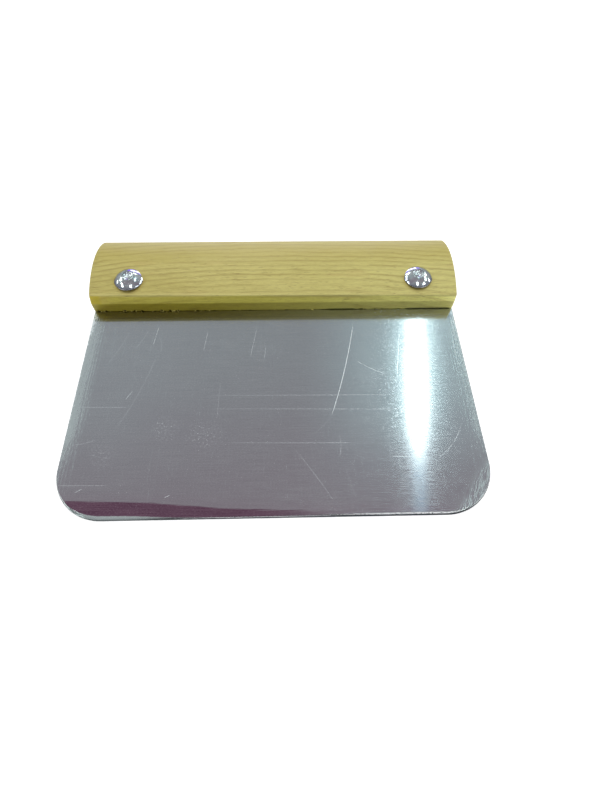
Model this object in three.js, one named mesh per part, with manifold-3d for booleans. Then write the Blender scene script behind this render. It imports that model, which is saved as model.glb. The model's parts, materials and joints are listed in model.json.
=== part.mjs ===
// A bench scraper: a stainless blade held in a sawn wooden handle by two riveted pins with domed caps.
//
// Every piece is drawn in the blade's own frame, in millimetres. X runs along the cutting edge, the
// handle lies at Y > 0 and the blade reaches to Y < 0, and Z is the blade's normal, with Z = 0 halfway
// through the sheet. At the end the scraper is laid down the way it rests on a bench: on the lower ends
// of its two rivets and on its cutting edge, with its bounding box centred over the origin.

import * as THREE from 'three';
import { mergeVertices } from 'three/addons/utils/BufferGeometryUtils.js';
import Module from 'manifold-3d';

const wasm = await Module();
wasm.setup();

// ---------------------------------------------------------------- driving dimensions, millimetres

const FIT_GAP = 0.3; // clearance left between two pieces that touch

const HANDLE_LENGTH = 145;
const HANDLE_DEPTH = 35; // from the flat front face to the round back
const HANDLE_THICKNESS = 22.3; // at the peak of the crown
const CROWN_PEAK = 12.7; // distance of the crown's peak behind the front face
const BACK_RADIUS = 5;
const FRONT_EASING_RUN = 1; // how far the eased front edge reaches back
const FRONT_EASING_DROP = 2.5; // and how far it reaches down the front face
const KERF_DEPTH = 20;

const BLADE_THICKNESS = 1;
const BLADE_REACH = 85; // from the handle's front face to the cutting edge
const BLADE_WIDTH = 152.4; // at its widest, above the rounded corners: a nominal six-inch blade
const BLADE_WIDTH_AT_HANDLE = HANDLE_LENGTH;
const BLADE_CORNER_RADIUS = 17.5;
const TANG_DEPTH = 19.5;
const TANG_CORNER_RADIUS = 1.5;
const GROUND_STRIP_RUN = 1.2; // the strip ground along the cutting edge, on the upper face
const GROUND_STRIP_DROP = 0.45;

const RIVET_SPACING = 114.5;
const RIVET_SETBACK = 8.5; // behind the handle's front face
const PIN_RADIUS = 1.6;
const PIN_HEAD_RADIUS = 2.2; // the pin's end, spread into the cap
const PIN_HEAD_HEIGHT = 0.9;
const PIN_CRATER_RADIUS = 1.7;
const PIN_CRATER_DEPTH = 0.5;
const CAP_RADIUS = 5.85;
const CAP_HEIGHT = 2.6;
const CAP_RIM_HEIGHT = 0.35;
const CAP_SEAT = 9.8; // height of the flat seat pressed into the crown, above the blade's middle

// ---------------------------------------------------------------- facets

const ARC_SEGMENTS = 10;
const ROUND_SEGMENTS = 48;
const DOME_STEPS = 8;
const CRATER_STEPS = 3;

// ---------------------------------------------------------------- materials

const pieceMaterials = {
  wood: { color: 0xbcb074, roughness: 0.45, metalness: 0 },
  steel: { color: 0x9a9b9d, roughness: 0.32, metalness: 1 },
  chrome: { color: 0xc8c8cc, roughness: 0.1, metalness: 1 },
};

// ---------------------------------------------------------------- solids

function toSolid(geometry) {
  const bare = geometry.clone();
  bare.deleteAttribute('normal');
  bare.deleteAttribute('uv');
  const merged = mergeVertices(bare, 1e-4);
  const vertProperties = new Float32Array(merged.attributes.position.array);
  const triVerts = new Uint32Array(merged.index.array);
  return new wasm.Manifold(new wasm.Mesh({ numProp: 3, vertProperties, triVerts }));
}

function toGeometry(solid) {
  const mesh = solid.getMesh();
  const geometry = new THREE.BufferGeometry();
  geometry.setAttribute('position', new THREE.BufferAttribute(mesh.vertProperties, 3));
  geometry.setIndex(new THREE.BufferAttribute(mesh.triVerts, 1));
  geometry.computeVertexNormals();
  return geometry;
}

// A closed cylinder along Z, standing on Z = bottom.
function uprightCylinder(radius, bottom, top, x, y) {
  const geometry = new THREE.CylinderGeometry(radius, radius, top - bottom, ROUND_SEGMENTS);
  geometry.rotateX(Math.PI / 2);
  geometry.translate(x, y, (top + bottom) / 2);
  return toSolid(geometry);
}

// A lathe profile is drawn as radius and height, and turned about Z here instead of Y.
function turnedAboutZ(profile) {
  const geometry = new THREE.LatheGeometry(profile, ROUND_SEGMENTS);
  geometry.rotateX(Math.PI / 2);
  return geometry;
}

const rivetXs = { left: -RIVET_SPACING / 2, right: RIVET_SPACING / 2 };

// ---------------------------------------------------------------- handle

// The D-shaped section as (Y, Z). The crown's arc runs into the round back without a corner: the back's
// circle touches the crown's from inside.
function handleSection() {
  const half = HANDLE_THICKNESS / 2;
  const backCentre = HANDLE_DEPTH - BACK_RADIUS;
  const run = backCentre - CROWN_PEAK;
  const crownRadius = (run ** 2 + half ** 2 - BACK_RADIUS ** 2) / (HANDLE_THICKNESS - 2 * BACK_RADIUS);
  const crownCentre = half - crownRadius;
  const tangent = Math.atan2(-crownCentre, run);
  const easingTop = crownCentre + Math.sqrt(crownRadius ** 2 - (CROWN_PEAK - FRONT_EASING_RUN) ** 2);
  const easingStart = Math.atan2(easingTop - crownCentre, FRONT_EASING_RUN - CROWN_PEAK);
  const easingFoot = easingTop - FRONT_EASING_DROP;
  const kerf = BLADE_THICKNESS / 2 + FIT_GAP;

  const section = new THREE.Shape();
  section.moveTo(0, kerf);
  section.lineTo(0, easingFoot);
  section.absellipse(
    FRONT_EASING_RUN, easingFoot, FRONT_EASING_RUN, FRONT_EASING_DROP, Math.PI, Math.PI / 2, true);
  section.absarc(CROWN_PEAK, crownCentre, crownRadius, easingStart, tangent, true);
  section.absarc(backCentre, 0, BACK_RADIUS, tangent, -tangent, true);
  section.absarc(CROWN_PEAK, -crownCentre, crownRadius, -tangent, -easingStart, true);
  section.absellipse(
    FRONT_EASING_RUN, -easingFoot, FRONT_EASING_RUN, FRONT_EASING_DROP, -Math.PI / 2, -Math.PI, true);
  section.lineTo(0, -kerf);
  section.lineTo(KERF_DEPTH, -kerf);
  section.lineTo(KERF_DEPTH, kerf);
  return section;
}

function handleGeometry() {
  const bar = new THREE.ExtrudeGeometry(handleSection(), {
    depth: HANDLE_LENGTH,
    bevelEnabled: false,
    curveSegments: ARC_SEGMENTS,
  });
  const sectionToHandle = new THREE.Matrix4().makeBasis(
    new THREE.Vector3(0, 1, 0), new THREE.Vector3(0, 0, 1), new THREE.Vector3(1, 0, 0));
  bar.applyMatrix4(sectionToHandle);
  bar.translate(-HANDLE_LENGTH / 2, 0, 0);

  let wood = toSolid(bar);
  for (const x of Object.values(rivetXs)) {
    const pinHole = uprightCylinder(
      PIN_RADIUS + FIT_GAP, -HANDLE_THICKNESS, HANDLE_THICKNESS, x, RIVET_SETBACK);
    const topSeat = uprightCylinder(
      CAP_RADIUS + FIT_GAP, CAP_SEAT, HANDLE_THICKNESS, x, RIVET_SETBACK);
    const bottomSeat = uprightCylinder(
      CAP_RADIUS + FIT_GAP, -HANDLE_THICKNESS, -CAP_SEAT, x, RIVET_SETBACK);
    wood = wood.subtract(pinHole).subtract(topSeat).subtract(bottomSeat);
  }
  return toGeometry(wood);
}

// ---------------------------------------------------------------- blade

// The sheet's outline as (X, Y): a trapezoid from the tang to the cutting edge with rounded corners.
function bladeOutline() {
  const lowerY = -BLADE_REACH + BLADE_CORNER_RADIUS;
  const flare = Math.atan2((BLADE_WIDTH - BLADE_WIDTH_AT_HANDLE) / 2, -lowerY);
  const halfWidthAt = (y) => BLADE_WIDTH_AT_HANDLE / 2 - y * Math.tan(flare);
  const lowerX = halfWidthAt(lowerY) - BLADE_CORNER_RADIUS / Math.cos(flare);
  const upperY = TANG_DEPTH - TANG_CORNER_RADIUS;
  const upperX = halfWidthAt(upperY) - TANG_CORNER_RADIUS / Math.cos(flare);
  const quarter = Math.PI / 2;

  const outline = new THREE.Shape();
  outline.absarc(lowerX, lowerY, BLADE_CORNER_RADIUS, -quarter, flare, false);
  outline.absarc(upperX, upperY, TANG_CORNER_RADIUS, flare, quarter, false);
  outline.absarc(-upperX, upperY, TANG_CORNER_RADIUS, quarter, Math.PI - flare, false);
  outline.absarc(-lowerX, lowerY, BLADE_CORNER_RADIUS, Math.PI - flare, 3 * quarter, false);
  for (const x of Object.values(rivetXs)) {
    const hole = new THREE.Path();
    hole.absarc(x, RIVET_SETBACK, PIN_RADIUS + FIT_GAP, 0, 2 * Math.PI, true);
    outline.holes.push(hole);
  }
  return outline;
}

// The wedge of steel that grinding takes off along the cutting edge, as a bar along X.
function groundWedge() {
  const top = BLADE_THICKNESS / 2;
  const slope = GROUND_STRIP_DROP / GROUND_STRIP_RUN;
  const overshoot = 1;
  const section = new THREE.Shape();
  section.moveTo(-BLADE_REACH + GROUND_STRIP_RUN, top);
  section.lineTo(-BLADE_REACH + GROUND_STRIP_RUN + overshoot, top + slope * overshoot);
  section.lineTo(-BLADE_REACH - overshoot, top + slope * overshoot);
  section.lineTo(-BLADE_REACH - overshoot, top - GROUND_STRIP_DROP - slope * overshoot);
  const wedge = new THREE.ExtrudeGeometry(section, { depth: BLADE_WIDTH, bevelEnabled: false });
  const sectionToBlade = new THREE.Matrix4().makeBasis(
    new THREE.Vector3(0, 1, 0), new THREE.Vector3(0, 0, 1), new THREE.Vector3(1, 0, 0));
  wedge.applyMatrix4(sectionToBlade);
  wedge.translate(-BLADE_WIDTH / 2, 0, 0);
  return wedge;
}

function bladeGeometry() {
  const sheet = new THREE.ExtrudeGeometry(bladeOutline(), {
    depth: BLADE_THICKNESS,
    bevelEnabled: false,
    curveSegments: ARC_SEGMENTS,
  });
  sheet.translate(0, 0, -BLADE_THICKNESS / 2);
  return toGeometry(toSolid(sheet).subtract(toSolid(groundWedge())));
}

// ---------------------------------------------------------------- rivets

const capBase = CAP_SEAT + FIT_GAP;
const capPeak = capBase + CAP_HEIGHT;
const domeRise = CAP_HEIGHT - CAP_RIM_HEIGHT;
const domeRadius = (CAP_RADIUS ** 2 + domeRise ** 2) / (2 * domeRise);

// Height of the dome's surface above the blade's middle, at a distance from the pin's axis.
function domeHeight(radius) {
  return capPeak - domeRadius + Math.sqrt(domeRadius ** 2 - radius ** 2);
}

const pinEnd = domeHeight(PIN_HEAD_RADIUS);

// A domed washer round the pin's end. Its hole widens at the top, where the pin's end is spread.
function capGeometry() {
  const holeRadius = PIN_RADIUS + FIT_GAP;
  const mouthRadius = PIN_HEAD_RADIUS + FIT_GAP;
  const profile = [
    new THREE.Vector2(holeRadius, capBase),
    new THREE.Vector2(CAP_RADIUS, capBase),
  ];
  for (let step = 0; step <= DOME_STEPS; step += 1) {
    const radius = CAP_RADIUS + (mouthRadius - CAP_RADIUS) * (step / DOME_STEPS);
    profile.push(new THREE.Vector2(radius, domeHeight(radius)));
  }
  profile.push(new THREE.Vector2(holeRadius, pinEnd - PIN_HEAD_HEIGHT));
  profile.push(profile[0].clone());
  return turnedAboutZ(profile);
}

// A straight pin with both ends spread, each with a shallow crater from the spinning tool.
function pinGeometry() {
  const upperHalf = [
    new THREE.Vector2(PIN_RADIUS, pinEnd - PIN_HEAD_HEIGHT),
    new THREE.Vector2(PIN_HEAD_RADIUS, pinEnd),
  ];
  for (let step = 0; step <= CRATER_STEPS; step += 1) {
    const radius = PIN_CRATER_RADIUS * (1 - step / CRATER_STEPS);
    const depth = PIN_CRATER_DEPTH * (1 - (radius / PIN_CRATER_RADIUS) ** 2);
    upperHalf.push(new THREE.Vector2(radius, pinEnd - depth));
  }
  const lowerHalf = upperHalf.map((point) => new THREE.Vector2(point.x, -point.y)).reverse();
  return turnedAboutZ([...lowerHalf, ...upperHalf]);
}

// ---------------------------------------------------------------- assembly

function piece(name, geometry, finish) {
  const mesh = new THREE.Mesh(geometry, new THREE.MeshStandardMaterial(pieceMaterials[finish]));
  mesh.name = name;
  return mesh;
}

const scraper = new THREE.Group();
scraper.add(piece('handle', handleGeometry(), 'wood'));
scraper.add(piece('blade', bladeGeometry(), 'steel'));

for (const [side, x] of Object.entries(rivetXs)) {
  const pin = piece(`${side}_rivet_pin`, pinGeometry(), 'chrome');
  const topCap = piece(`${side}_top_cap`, capGeometry(), 'chrome');
  const bottomCap = piece(`${side}_bottom_cap`, capGeometry(), 'chrome');
  bottomCap.rotation.x = Math.PI;
  for (const mesh of [pin, topCap, bottomCap]) {
    mesh.position.set(x, RIVET_SETBACK, 0);
    scraper.add(mesh);
  }
}

// The lean at rest: a level bench touches the lower ends of both pins and the blade's lower edge.
const restingLean = Math.atan2(
  pinEnd - BLADE_THICKNESS / 2, RIVET_SETBACK - PIN_HEAD_RADIUS + BLADE_REACH);

scraper.rotation.x = restingLean;
scraper.updateMatrixWorld(true);
const extent = new THREE.Box3().setFromObject(scraper, true);
const centre = extent.getCenter(new THREE.Vector3());

const bench = new THREE.Group();
scraper.position.set(-centre.x, -centre.y, -extent.min.z);
bench.add(scraper);
bench.updateMatrixWorld(true);

export default bench;
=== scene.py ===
import json
import math
import random
from functools import reduce

import bmesh
import bpy
from mathutils import Matrix, Quaternion, Vector


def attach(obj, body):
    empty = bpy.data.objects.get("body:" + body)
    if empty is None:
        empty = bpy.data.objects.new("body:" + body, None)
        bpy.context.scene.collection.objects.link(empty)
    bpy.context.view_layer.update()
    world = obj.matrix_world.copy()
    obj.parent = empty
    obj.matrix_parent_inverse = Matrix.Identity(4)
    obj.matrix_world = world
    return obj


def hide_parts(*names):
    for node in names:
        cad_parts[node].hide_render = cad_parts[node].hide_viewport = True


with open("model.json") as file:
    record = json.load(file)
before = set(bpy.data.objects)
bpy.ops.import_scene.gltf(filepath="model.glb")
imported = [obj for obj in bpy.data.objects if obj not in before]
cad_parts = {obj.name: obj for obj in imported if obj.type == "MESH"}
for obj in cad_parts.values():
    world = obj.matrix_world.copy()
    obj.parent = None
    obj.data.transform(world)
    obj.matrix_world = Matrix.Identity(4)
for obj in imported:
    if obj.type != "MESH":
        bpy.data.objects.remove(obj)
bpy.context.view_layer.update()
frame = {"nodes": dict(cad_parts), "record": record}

# A bench scraper lying on a white bench. Every piece is drawn in the blade's own frame, in
# millimetres: X along the cutting edge, the handle at Y > 0, the blade at Y < 0, and Z = 0 halfway
# through the sheet. blade_to_bench then lays it down as the CAD has it.

MM = 0.001
SKIN = 0.005  # millimetres by which the drawn surface stays inside the CAD's

# ---------------- what the frame says

mounts = {mount["name"]: mount for mount in frame["record"]["mounts"]}
edge_normal = Vector(mounts["cutting_edge"]["axis"])
LEAN = math.atan2(-edge_normal.z, -edge_normal.y)
lean_turn = Matrix.Rotation(LEAN, 4, "X")


def cad_box_in_blade_frame(node):
    """Lowest and highest corners of a CAD node, in millimetres, without the scraper's lean."""
    points = [lean_turn.inverted() @ v.co / MM for v in frame["nodes"][node].data.vertices]
    low = Vector([min(p[i] for p in points) for i in range(3)])
    high = Vector([max(p[i] for p in points) for i in range(3)])
    return low, high


handle_low, handle_high = cad_box_in_blade_frame("handle")
blade_low, blade_high = cad_box_in_blade_frame("blade")
cap_low, cap_high = cad_box_in_blade_frame("right_top_cap")
_, pin_high = cad_box_in_blade_frame("right_rivet_pin")

origin = Vector((0, handle_low.y, (handle_low.z + handle_high.z) / 2))
blade_to_bench = lean_turn @ Matrix.Scale(MM, 4) @ Matrix.Translation(origin)

HANDLE_LENGTH = handle_high.x - handle_low.x
HANDLE_DEPTH = handle_high.y - handle_low.y - SKIN
HANDLE_THICKNESS = handle_high.z - handle_low.z
BLADE_THICKNESS = blade_high.z - blade_low.z
BLADE_WIDTH = blade_high.x - blade_low.x
BLADE_REACH = handle_low.y - blade_low.y - SKIN
TANG_DEPTH = blade_high.y - handle_low.y
RIVET_X = (cap_low.x + cap_high.x) / 2
RIVET_Y = (cap_low.y + cap_high.y) / 2 - origin.y
CAP_RADIUS = (cap_high.x - cap_low.x) / 2
CAP_BASE = cap_low.z - origin.z
PIN_END = pin_high.z - origin.z

# ---------------- shape details, millimetres

CROWN_PEAK = 12.7
BACK_RADIUS = 5
EASING_RUN = 0.97
EASING_TAPER = 0.0066  # the easing narrows towards the right
EASING_FOOT = 5.42
END_ROUNDING = 0.7
KERF_DEPTH = 20
KERF_GAP = 0.12
PIN_HOLE_GAP = 0.05
PIN_HOLE_SEGMENTS = 32
SEAT_GAP = 0.03
CAP_TILT = math.radians(-4.5)  # the upper caps were driven in leaning back
CAP_TRIM = 0.03  # the polished rim is turned in a little from the CAD cap's edge
RIVET_SEGMENTS = 96
FLAT_AREA = 60e-6  # square metres: larger faces are flat
BLADE_CORNER_RADIUS = 17.5
TANG_CORNER_RADIUS = 1.5
PIN_RADIUS = 1.6
PIN_HEAD_RADIUS = 2.2
PIN_NECK = 0.9  # how far below the pin's end it widens into its head
CAP_HEIGHT = 2.6
CAP_RIM_HEIGHT = 0.35

dome_rise = CAP_HEIGHT - CAP_RIM_HEIGHT
dome_radius = (CAP_RADIUS ** 2 + dome_rise ** 2) / (2 * dome_rise)

# ---------------- mesh helpers


def add_object(name, data):
    made = bpy.data.objects.new(name, data)
    bpy.context.scene.collection.objects.link(made)
    return made


def mesh_object(name, bm, material=None):
    """Turns a bmesh into an object of the scene, with its faces outwards."""
    mesh = bpy.data.meshes.new(name)
    bmesh.ops.recalc_face_normals(bm, faces=bm.faces)
    bm.to_mesh(mesh)
    bm.free()
    if material:
        mesh.materials.append(material)
    return add_object(name, mesh)


def finish_piece(piece, material, nodes, sharp_angle=35):
    """Lays a piece that was drawn in the blade's frame on the bench, to stand for CAD nodes."""
    mesh = piece.data
    mesh.transform(blade_to_bench)
    mesh.set_sharp_from_angle(angle=math.radians(sharp_angle))
    for polygon in mesh.polygons:
        polygon.use_smooth = polygon.area < FLAT_AREA
    mesh.materials.clear()
    mesh.materials.append(material)
    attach(piece, "root")
    if nodes:
        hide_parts(*nodes)


def bridge(bm, lower, upper):
    """Faces between two rings of vertices that run the same way. One of them may be one vertex."""
    count = max(len(lower), len(upper))
    for i in range(count):
        j = (i + 1) % count
        if len(lower) == 1:
            corners = lower[0], upper[j], upper[i]
        elif len(upper) == 1:
            corners = lower[i], lower[j], upper[0]
        else:
            corners = lower[i], lower[j], upper[j], upper[i]
        bm.faces.new(corners)


def loft(bm, rings):
    """A closed solid through rings of vertices that run the same way."""
    for lower, upper in zip(rings, rings[1:]):
        bridge(bm, lower, upper)
    bm.faces.new(rings[0][::-1])
    bm.faces.new(rings[-1])


def ring_about_pin(bm, x, radius, segments, height_at):
    """Vertices round the axis of the pin at x, at a height for each angle."""
    ring = []
    for i in range(segments):
        angle = 2 * math.pi * i / segments
        ring.append(bm.verts.new((
            x + radius * math.cos(angle), RIVET_Y + radius * math.sin(angle), height_at(angle))))
    return ring


def lathe(profile, x, flip=False, segments=RIVET_SEGMENTS):
    """Turns a (radius, height) profile about a pin's axis, as a loop if it starts off the axis."""
    bm = bmesh.new()
    rings = []
    for radius, height in profile:
        z = -height if flip else height
        rings.append(ring_about_pin(bm, x, radius, segments if radius else 1, lambda angle: z))
    if len(rings[0]) > 1:
        rings.append(rings[0])
    for lower, upper in zip(rings, rings[1:]):
        bridge(bm, lower, upper)
    return bm


def cut(piece, cutters):
    """Subtracts the cutters' bmeshes from the piece's mesh."""
    scratch = [mesh_object("cutter", bm) for bm in cutters]
    for cutter in scratch:
        modifier = piece.modifiers.new("cut", "BOOLEAN")
        modifier.operation = "DIFFERENCE"
        modifier.solver = "EXACT"
        modifier.object = cutter
    bpy.context.view_layer.update()
    depsgraph = bpy.context.evaluated_depsgraph_get()
    piece.data = bpy.data.meshes.new_from_object(piece.evaluated_get(depsgraph))
    piece.modifiers.clear()
    for cutter in scratch:
        bpy.data.objects.remove(cutter)


def pin_hole(x, depth):
    """The cutter for a pin's hole, from -depth to depth."""
    radius = PIN_RADIUS + PIN_HOLE_GAP
    profile = [(0, -depth), (radius, -depth), (radius, depth), (0, depth)]
    return lathe(profile, x, segments=PIN_HOLE_SEGMENTS)


# ---------------- material helpers


class Nodes:
    """Short calls for the node tree of a material or a world. A colour is (red, green, blue)."""

    def __init__(self, owner):
        owner.use_nodes = True
        self.owner = owner
        self.tree = owner.node_tree

    def node(self, kind, inputs=None, **settings):
        made = self.tree.nodes.new(kind)
        for key, value in settings.items():
            setattr(made, key, value)
        for key, value in (inputs or {}).items():
            self.feed(made.inputs[key], value)
        return made

    def feed(self, socket, value):
        if isinstance(value, bpy.types.NodeSocket):
            self.tree.links.new(value, socket)
        else:
            socket.default_value = (*value, 1) if socket.type == "RGBA" else value

    def set(self, shader="Principled BSDF", **inputs):
        """Sets sockets of a shader that the tree already has: underscores stand for spaces."""
        for key, value in inputs.items():
            self.feed(self.tree.nodes[shader].inputs[key.replace("_", " ")], value)

    def glow(self, colour, strength=1):
        """Makes the material shine and nothing else."""
        emission = self.node("ShaderNodeEmission", {"Color": colour, "Strength": strength})
        surface = self.tree.nodes["Material Output"].inputs["Surface"]
        self.tree.links.new(emission.outputs[0], surface)
        return self.owner

    def math(self, operation, a, b=0, c=0, clamp=False):
        inputs = {0: a, 1: b, 2: c}
        return self.node("ShaderNodeMath", inputs, operation=operation, use_clamp=clamp).outputs[0]

    def product(self, *factors, clamp=False):
        return reduce(lambda a, b: self.math("MULTIPLY", a, b, clamp=clamp), factors)

    def highest(self, *values):
        return reduce(lambda a, b: self.math("MAXIMUM", a, b), values)

    def minus(self, a, b, clamp=False):
        return self.math("SUBTRACT", a, b, clamp=clamp)

    def apart(self, a, b):
        return self.math("ABSOLUTE", self.minus(a, b))

    def muladd(self, a, b, c):
        """a b + c"""
        return self.math("MULTIPLY_ADD", a, b, c)

    def plane(self, x, y, a, b, c):
        """a x + b y + c"""
        return self.muladd(x, a, self.muladd(y, b, c))

    def squared_distance(self, x, y, centre):
        dx, dy = self.minus(x, centre[0]), self.minus(y, centre[1])
        return self.muladd(dx, dx, self.product(dy, dy))

    def smooth(self, value, low, high, out_low=0, out_high=1):
        """Eases from out_low to out_high while the value goes from low to high."""
        inputs = {"Value": value, "From Min": low, "From Max": high,
                  "To Min": out_low, "To Max": out_high}
        made = self.node("ShaderNodeMapRange", inputs, interpolation_type="SMOOTHSTEP")
        return made.outputs["Result"]

    def stretch(self, vector, scale, rotation=(0, 0, 0), location=(0, 0, 0), kind="POINT"):
        inputs = {"Vector": vector, "Scale": scale, "Rotation": rotation, "Location": location}
        return self.node("ShaderNodeMapping", inputs, vector_type=kind).outputs["Vector"]

    def noise(self, vector, scale, rotation=(0, 0, 0), detail=2, roughness=0.5, **mapping):
        inputs = {"Vector": self.stretch(vector, scale, rotation, **mapping), "Scale": 1,
                  "Detail": detail, "Roughness": roughness}
        return self.node("ShaderNodeTexNoise", inputs).outputs["Fac"]

    def mix(self, factor, a, b, blend="MIX", share=1):
        if share != 1:
            factor = self.product(factor, share)
        made = self.node("ShaderNodeMix", data_type="RGBA", blend_type=blend)
        self.feed(made.inputs[0], factor)
        self.feed(made.inputs[6], a)
        self.feed(made.inputs[7], b)
        return made.outputs[2]

    def ramp(self, factor, stops):
        """A colour ramp. One number stands for a grey."""
        made = self.node("ShaderNodeValToRGB", {"Fac": factor})
        elements = made.color_ramp.elements
        while len(elements) < len(stops):
            elements.new(1)
        for element, (position, colour) in zip(elements, stops):
            element.position = position
            element.color = (*(colour if isinstance(colour, tuple) else (colour,) * 3), 1)
        return made.outputs["Color"]

    def split(self, vector):
        return self.node("ShaderNodeSeparateXYZ", {0: vector}).outputs

    def bump(self, height, distance, strength):
        inputs = {"Height": height, "Distance": distance, "Strength": strength}
        return self.node("ShaderNodeBump", inputs).outputs["Normal"]

    def blade_frame(self):
        """The point in the blade's frame, in millimetres."""
        place = self.node("ShaderNodeTexCoord").outputs["Object"]
        start = lean_turn @ (origin * MM)
        return self.stretch(place, (MM, MM, MM), (LEAN, 0, 0), tuple(start), kind="TEXTURE")


def new_material(name):
    return Nodes(bpy.data.materials.new(name))


# ---------------- wood

GROWTH_RING = 2.35
PITH = (-70, -26)  # where the tree's heart lay, (y, z)
GRAIN_ARCH = 0.00095  # how fast the growth rings curve away from the middle of the handle
GRAIN_ARCH_MIDDLE = 6


def growth_rings(nodes, place, x, y, z):
    """0 in the pale early wood, 1 in the thin brown late wood of each growth ring."""
    sway = nodes.noise(place, (0.018, 0.05, 0.05), detail=1)
    ripple = nodes.noise(place, (0.10, 0.35, 0.35))
    bow = nodes.minus(x, GRAIN_ARCH_MIDDLE)
    bow = nodes.product(bow, bow, GRAIN_ARCH)
    from_pith = nodes.math("SQRT", nodes.squared_distance(y, z, PITH))
    distance = nodes.math("ADD", from_pith, bow)
    distance = nodes.muladd(sway, 5, distance)
    distance = nodes.muladd(ripple, 1.5, distance)
    phase = nodes.math("FRACT", nodes.math("DIVIDE", distance, GROWTH_RING))
    rings = nodes.ramp(
        phase, [(0, 0.25), (0.15, 0), (0.5, 0.08), (0.72, 0.5), (0.86, 1), (1, 0.25)])
    fade = nodes.noise(place, (0.05, 0.25, 0.25), location=(7, 3, 1), detail=3)
    return nodes.product(
        rings, nodes.smooth(fade, 0.3, 0.62, 0.25, 1), nodes.smooth(y, 1, 14, 0.65, 1.15))


def wood_material():
    nodes = new_material("varnished_wood")
    place = nodes.blade_frame()
    x, y, z = nodes.split(place)
    rings = growth_rings(nodes, place, x, y, z)

    # Fibres, pores and slow colour drift.
    fibre = nodes.noise(place, (0.16, 2.6, 2.6), detail=4, roughness=0.65)
    fine_fibre = nodes.noise(place, (0.5, 6.5, 6.5))
    pore = nodes.noise(place, (0.30, 3.4, 3.4), location=(3, 9, 4), detail=1)
    pore = nodes.smooth(pore, 0.66, 0.76)
    drift = nodes.noise(place, (0.02, 0.09, 0.09), location=(5, 1, 8))
    patch = nodes.noise(place, (0.05, 0.28, 0.28), location=(1, 6, 2))

    rightward = nodes.smooth(x, -50, 75)
    colour = nodes.mix(nodes.smooth(drift, 0.3, 0.7), (0.51, 0.44, 0.126), (0.56, 0.49, 0.155))
    colour = nodes.mix(rightward, colour, (0.63, 0.585, 0.20), share=0.65)
    colour = nodes.mix(rings, colour, (0.30, 0.22, 0.055), share=0.62)
    colour = nodes.mix(nodes.smooth(fibre, 0.45, 0.78), colour, (0.27, 0.19, 0.05), share=0.5)
    colour = nodes.mix(nodes.smooth(fibre, 0.45, 0.2), colour, (0.66, 0.60, 0.26), share=0.35)
    colour = nodes.mix(
        nodes.smooth(fine_fibre, 0.5, 0.72), colour, (0.30, 0.22, 0.07), share=0.35)
    colour = nodes.mix(nodes.smooth(patch, 0.58, 0.80), colour, (0.46, 0.30, 0.10), share=0.3)
    colour = nodes.mix(pore, colour, (0.17, 0.095, 0.03), share=0.6)
    colour = nodes.mix(nodes.smooth(y, 11, 23), colour, (0.40, 0.32, 0.04), share=0.5)

    # Painted shading on the front face and easing: a tint that darkens and saturates the front face
    # towards the left and lightens the easing and the right, standing in for how light falls there
    # and for the sheen that pales the top.
    past_crease = nodes.plane(x, y, EASING_TAPER, 1, -EASING_RUN)
    front = nodes.smooth(past_crease, 0, -0.22)
    easing = nodes.smooth(z, EASING_FOOT - 0.3, EASING_FOOT + 0.3)
    front_shading = nodes.mix(rightward, (0.82, 0.78, 0.21), (1.30, 1.37, 1.18))
    rightmost = nodes.smooth(x, -15, 75)
    front_shading = nodes.mix(easing, front_shading, nodes.mix(rightmost, (1.22, 1.24, 0.66), (1.76, 1.86, 1.75)))
    colour = nodes.mix(front, colour, nodes.mix(1, colour, front_shading, "MULTIPLY"))
    # Painted highlight along the upper crease of the easing, broken up by patches and fainter
    # towards the right.
    crease_highlight = nodes.product(
        nodes.smooth(nodes.apart(past_crease, 0.3), 0.8, 0.1), nodes.smooth(z, 7, 8),
        nodes.smooth(patch, 0.35, 0.6, 0.1, 1), nodes.smooth(x, -30, 30, 1, 0.3))
    colour = nodes.mix(crease_highlight, colour, (0.68, 0.61, 0.23), share=0.4)
    pooled = nodes.product(nodes.smooth(x, -67.5, -69.5), front, nodes.smooth(z, 4.5, 6))
    colour = nodes.mix(pooled, colour, (0.55, 0.43, 0.01), share=0.75)

    # Painted contact shadow: the wood darkens in front of each rivet, most on the side towards the
    # handle's middle.
    beside = nodes.minus(RIVET_X, nodes.math("ABSOLUTE", x))
    rivet_contact_shade = nodes.product(
        nodes.smooth(distance_from_rivet(nodes, x, y), CAP_RADIUS + 1.7, CAP_RADIUS - 0.3),
        nodes.smooth(y, RIVET_Y + 2, RIVET_Y - 3), nodes.smooth(beside, -7, 3, 0.35, 1))
    colour = nodes.mix(rivet_contact_shade, colour, (0.27, 0.18, 0.02), share=0.62)

    height = nodes.muladd(fibre, -0.6, nodes.product(pore, -0.8))
    height = nodes.muladd(rings, -0.25, height)
    normal = nodes.bump(height, 0.00008, 0.7)
    roughness = nodes.smooth(fibre, 0.3, 0.7, 0.46, 0.58)
    nodes.set(Base_Color=colour, Roughness=roughness, Normal=normal, Specular_IOR_Level=0.35,
              Coat_Weight=0.12, Coat_Roughness=0.35, Coat_IOR=1.45)
    return nodes.owner


def torn_wood_material():
    """Bare, pale fibres."""
    nodes = new_material("torn_wood")
    x, _, _ = nodes.split(nodes.blade_frame())
    along = nodes.node("ShaderNodeCombineXYZ", {"X": x}).outputs[0]
    tone = nodes.noise(along, (0.9, 0.9, 0.9))
    colour = nodes.mix(nodes.smooth(tone, 0.3, 0.7), (0.50, 0.41, 0.07), (0.88, 0.78, 0.24))
    nodes.set(Base_Color=colour, Roughness=0.6)
    return nodes.owner


# ---------------- steel

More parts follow.
